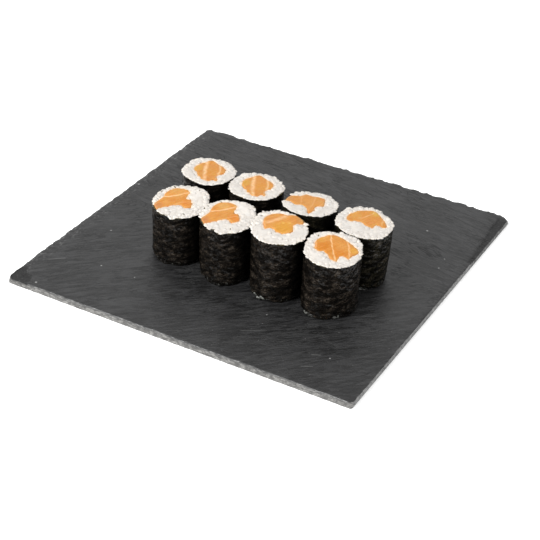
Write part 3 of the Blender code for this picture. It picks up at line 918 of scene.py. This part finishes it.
def buildSalmon(roll, spec):
    bm, cap = salmonShape(roll)
    depth = bm.verts.layers.float["depth"]
    middle = middleOf(roll) * mm
    seed = roll["seed"]
    for vert in bm.verts:
        if vert.co.z < measureSpec["waist"] * mm:
            vert.co.xy = middle.xy + (vert.co.xy - middle.xy) * spec["footShare"]
    for vert in gridFace(bm, cap, spec["grid"] * mm):
        x, y = (vert.co.x - middle.x) / mm, (vert.co.y - middle.y) / mm
        deep = fishDepth(roll, x, y)
        vert[depth] = deep
        curve = spec["round"] * (1 - smoothstep(abs(deep), 0, spec["edge"])) ** 1.5
        flake = spec["flake"] * ripple(x / 2.6, y / 6.0, 0.0, seed) + 0.06 * ripple(x / 0.9, y / 0.9, 4.0, seed)
        vert.co.z += (flake + lifting(roll, x, y) * 0.8 - curve - spec["sink"]) * mm
    return bm


salmonLook = {"pale": (0.620, 0.276, 0.060), "deep": (0.575, 0.230, 0.045), "fibre": (0.74, 0.41, 0.14),
              "between": (0.52, 0.17, 0.025), "rim": (0.74, 0.40, 0.15), "fat": (0.84, 0.54, 0.29),
              "fibres": (62, 5.0, 0.5, 3.0, 0.6)}


def salmonMaterial(roll, look, face):
    material = newMaterial("salmon_" + roll["name"])
    place = objectPlace(material.node_tree, (*roll["at"], 0))
    x, y, _ = split(place)
    x = x + (noiseAt(place, 0.35, 2.0, 0.5) - 0.5) * 1.6
    colour = blend(fade(noiseAt(place, 0.22, 2.0), 0.3, 0.7), look["pale"], look["deep"])
    flat = place.node("ShaderNodeCombineXYZ", {"X": x, "Y": y})
    for tintX, tintY, size, tint in face["tints"]:
        near = fade(awayFrom(flat, tintX, tintY), size * 0.25, size * 1.15, 0.85, 0.0)
        colour = blend(near, colour, tint)
    fibres = streaks(place, *look["fibres"])
    colour = blend(fade(fibres, 0.50, 0.70, 0.0, 0.5), colour, look["fibre"])
    colour = blend(fade(fibres, 0.3, 0.48, 0.5, 0.0), colour, look["between"])
    colour = blend(fade(attributeAt(place, "depth"), 0.0, 1.3, 0.25, 0.0), colour, look["rim"])
    patchy = fade(noiseAt(place, 0.5, 3.0), 0.3, 0.6, 0.45, 1.0)
    fat = sum(stroke(x, y, line) for line in face["lines"]) * patchy
    colour = blend(fat.math("MINIMUM", fat, 1.0), colour, look["fat"])
    height = fibres * 0.5 + noiseAt(place, 1.3, 3.0) - fat * 0.6
    return finishMaterial(material, colour, 0.36, height, 0.00018, Subsurface_Weight=0.25,
                          Subsurface_Radius=(1.0, 0.4, 0.15), Subsurface_Scale=0.001, Specular_IOR_Level=0.2)


for name, roll in rolls.items():
    flesh = salmonMaterial(roll, salmonLook, fishLooks[roll["kind"]])
    addPiece("salmon_strip_" + name, buildSalmon(roll, salmonSpec), flesh, ["salmon_" + name])
print("salmon done")

# Crumbs of nori on the rice, and torn bits of it at four feet

crumbSpec = {"size": (0.85, 0.28, 0.09), "places": (  # a roll, a place, a size and a turn
    ("front_1", 7.5, -8.8, 1.0, 122), ("front_1", -9.6, 9.6, 1.1, 118), ("front_1", -13.4, 2.8, 0.8, 100),
    ("front_1", 3.8, 12.8, 0.6, 120), ("front_2", 6.9, -9.0, 0.8, 120), ("front_2", -9.2, 8.9, 0.8, 118),
    ("front_2", -13.2, 2.3, 0.7, 110), ("front_4", -11.6, 6.1, 0.9, 115), ("back_4", 1.2, -9.8, 0.6, 130),
    ("front_3", -11.8, -4.5, 0.4, 100), ("back_1", 3.4, -9.8, 0.5, 118))}


def buildCrumbs(spec):
    bm = bmesh.new()
    trees = {name: surfaceTree(bpy.data.objects["rice_grains_" + name].data) for name in rolls}
    for number, (name, x, y, size, turn) in enumerate(spec["places"]):
        over = Vector((rolls[name]["at"][0] + x, rolls[name]["at"][1] + y, 60))
        hit, normal = trees[name].ray_cast(over, -up)[:2]
        pose = Matrix.Translation(hit + up * 0.12) @ normal.to_track_quat("Z", "Y").to_matrix().to_4x4()
        grown = Matrix.Diagonal((*(value * size for value in spec["size"]), 1))
        pose = pose @ Matrix.Rotation(math.radians(turn), 4, "Z") @ grown
        made = bmesh.ops.create_icosphere(bm, subdivisions=2, radius=1, matrix=pose)
        for vert in made["verts"]:
            vert.co += normal * 0.12 * ripple(vert.co.x / 0.5, vert.co.y / 0.5, 0.0, number)
            vert.co *= mm
    return bm


tatterSpec = {"size": (1.5, 0.85), "thick": 0.12, "bend": 0.45, "seed": 31, "places": (  # a roll, a turn and a size
    ("back_4", 282, 1.0), ("back_4", 291, 1.3), ("back_4", 300, 1.1), ("back_4", 309, 0.8),
    ("front_4", 312, 1.0), ("front_4", 322, 0.8), ("front_4", 262, 1.1), ("front_4", 252, 1.2),
    ("front_4", 243, 0.9), ("front_3", 258, 1.0), ("front_3", 268, 1.1), ("front_3", 248, 0.8),
    ("front_2", 262, 0.8))}


def buildTatters(spec):
    bm = bmesh.new()
    rng = random.Random(spec["seed"])
    for name, turn, size in spec["places"]:
        roll = rolls[name]
        out = wrapRadius(roll, turn, 0.04) + flaring(roll, turn) + rng.uniform(-0.4, 0.1)
        foot = axisAt(roll, 0) + aimAt(turn) * out
        foot.z = boardTop + 0.7 + rng.uniform(0, 1.2)
        lean = Matrix.Rotation(math.radians(rng.uniform(35, 80)), 4, "X")
        turned = Matrix.Rotation(math.radians(turn + 90 + rng.uniform(-25, 25)), 4, "Z")
        wide, high = spec["size"]
        grown = Matrix.Diagonal((wide * size, high * size * rng.uniform(0.7, 1.1), 1, 1))
        pose = Matrix.Translation(foot) @ turned @ lean @ grown
        made = bmesh.ops.create_grid(bm, x_segments=6, y_segments=4, size=1, matrix=pose)
        for vert in made["verts"]:
            x, y, z = vert.co
            vert.co += Vector((ripple(x, y, z, 3), ripple(z, x, y, 8), 0)) * spec["bend"]
            vert.co.z = max(vert.co.z, boardTop + 0.2)
            vert.co *= mm
    return bm


tatterLook = {"dark": (0.010, 0.010, 0.008), "pale": (0.15, 0.155, 0.14)}


def tatterMaterial(look):
    material = newMaterial("nori_torn_glint")
    place = objectPlace(material.node_tree)
    # partly painted highlight: the pale patches are partly the torn sheet's paler nori and partly glints of the
    # crumpled foot
    patches = fade(noiseAt(place, 0.55, 3.0), 0.42, 0.60)
    colour = blend(patches, look["dark"], look["pale"])
    return finishMaterial(material, colour, 0.3, noiseAt(place, 2.0, 3.0), 0.0001)


addPiece("nori_crumbs", buildCrumbs(crumbSpec), brownSheet)
tatters = addPiece("nori_tatters", buildTatters(tatterSpec), tatterMaterial(tatterLook))
thicken(tatters, tatterSpec["thick"])
print("small pieces done")

# Camera, light and floor

cameraSpec = {"azimuth": 28.08, "elevation": 32.787, "roll": 2.416, "distance": 0.75236,
              "target": (0.009723, -0.016722, 0.0007), "lens": 94.45, "sensor": 36, "nearest": 0.01}


def placeCamera(spec):
    azimuth, elevation, roll = (math.radians(spec[key]) for key in ("azimuth", "elevation", "roll"))
    level = math.cos(elevation)
    back = Vector((math.sin(azimuth) * level, -math.cos(azimuth) * level, math.sin(elevation)))
    right = up.cross(back).normalized()
    over = back.cross(right)
    tilted = (right * math.cos(roll) + over * math.sin(roll), over * math.cos(roll) - right * math.sin(roll))
    camera = bpy.data.cameras.new("camera")
    camera.lens = spec["lens"]
    camera.sensor_width = spec["sensor"]
    camera.clip_start = spec["nearest"]
    holder = addObject("camera", camera)
    turned = Matrix((*tilted, back)).transposed().to_4x4()
    holder.matrix_world = Matrix.Translation(Vector(spec["target"]) + back * spec["distance"]) @ turned
    bpy.context.scene.camera = holder


lightSpec = {"sky": 0.66, "from": (-0.55, -1.25, 1.25), "size": 0.55, "power": 33.5}


def placeLights(spec):
    world = bpy.data.worlds.new("studio")
    world.use_nodes = True
    sky = world.node_tree.nodes["Background"]
    sky.inputs["Color"].default_value = (1, 1, 1, 1)
    sky.inputs["Strength"].default_value = spec["sky"]
    bpy.context.scene.world = world
    light = bpy.data.lights.new("key", "AREA")
    light.size = spec["size"]
    light.energy = spec["power"]
    holder = addObject("key", light)
    holder.location = spec["from"]
    holder.rotation_euler = Vector(spec["from"]).to_track_quat("Z", "Y").to_euler()


floorSpec = {"size": 6, "white": (0.95, 0.95, 0.95, 1), "rough": 0.9, "glow": 0.5}


def layFloor(spec):
    bm = bmesh.new()
    bmesh.ops.create_grid(bm, x_segments=1, y_segments=1, size=spec["size"])
    mesh = bpy.data.meshes.new("floor")
    bm.to_mesh(mesh)
    bm.free()
    material = newMaterial("floor_white")
    shader = material.node_tree.nodes["Principled BSDF"]
    shader.inputs["Base Color"].default_value = spec["white"]
    shader.inputs["Roughness"].default_value = spec["rough"]
    shader.inputs["Emission Color"].default_value = (1, 1, 1, 1)
    shader.inputs["Emission Strength"].default_value = spec["glow"]
    mesh.materials.append(material)
    floor = addObject("floor", mesh)


placeCamera(cameraSpec)
placeLights(lightSpec)
layFloor(floorSpec)
bpy.context.scene.view_settings.view_transform = "Standard"
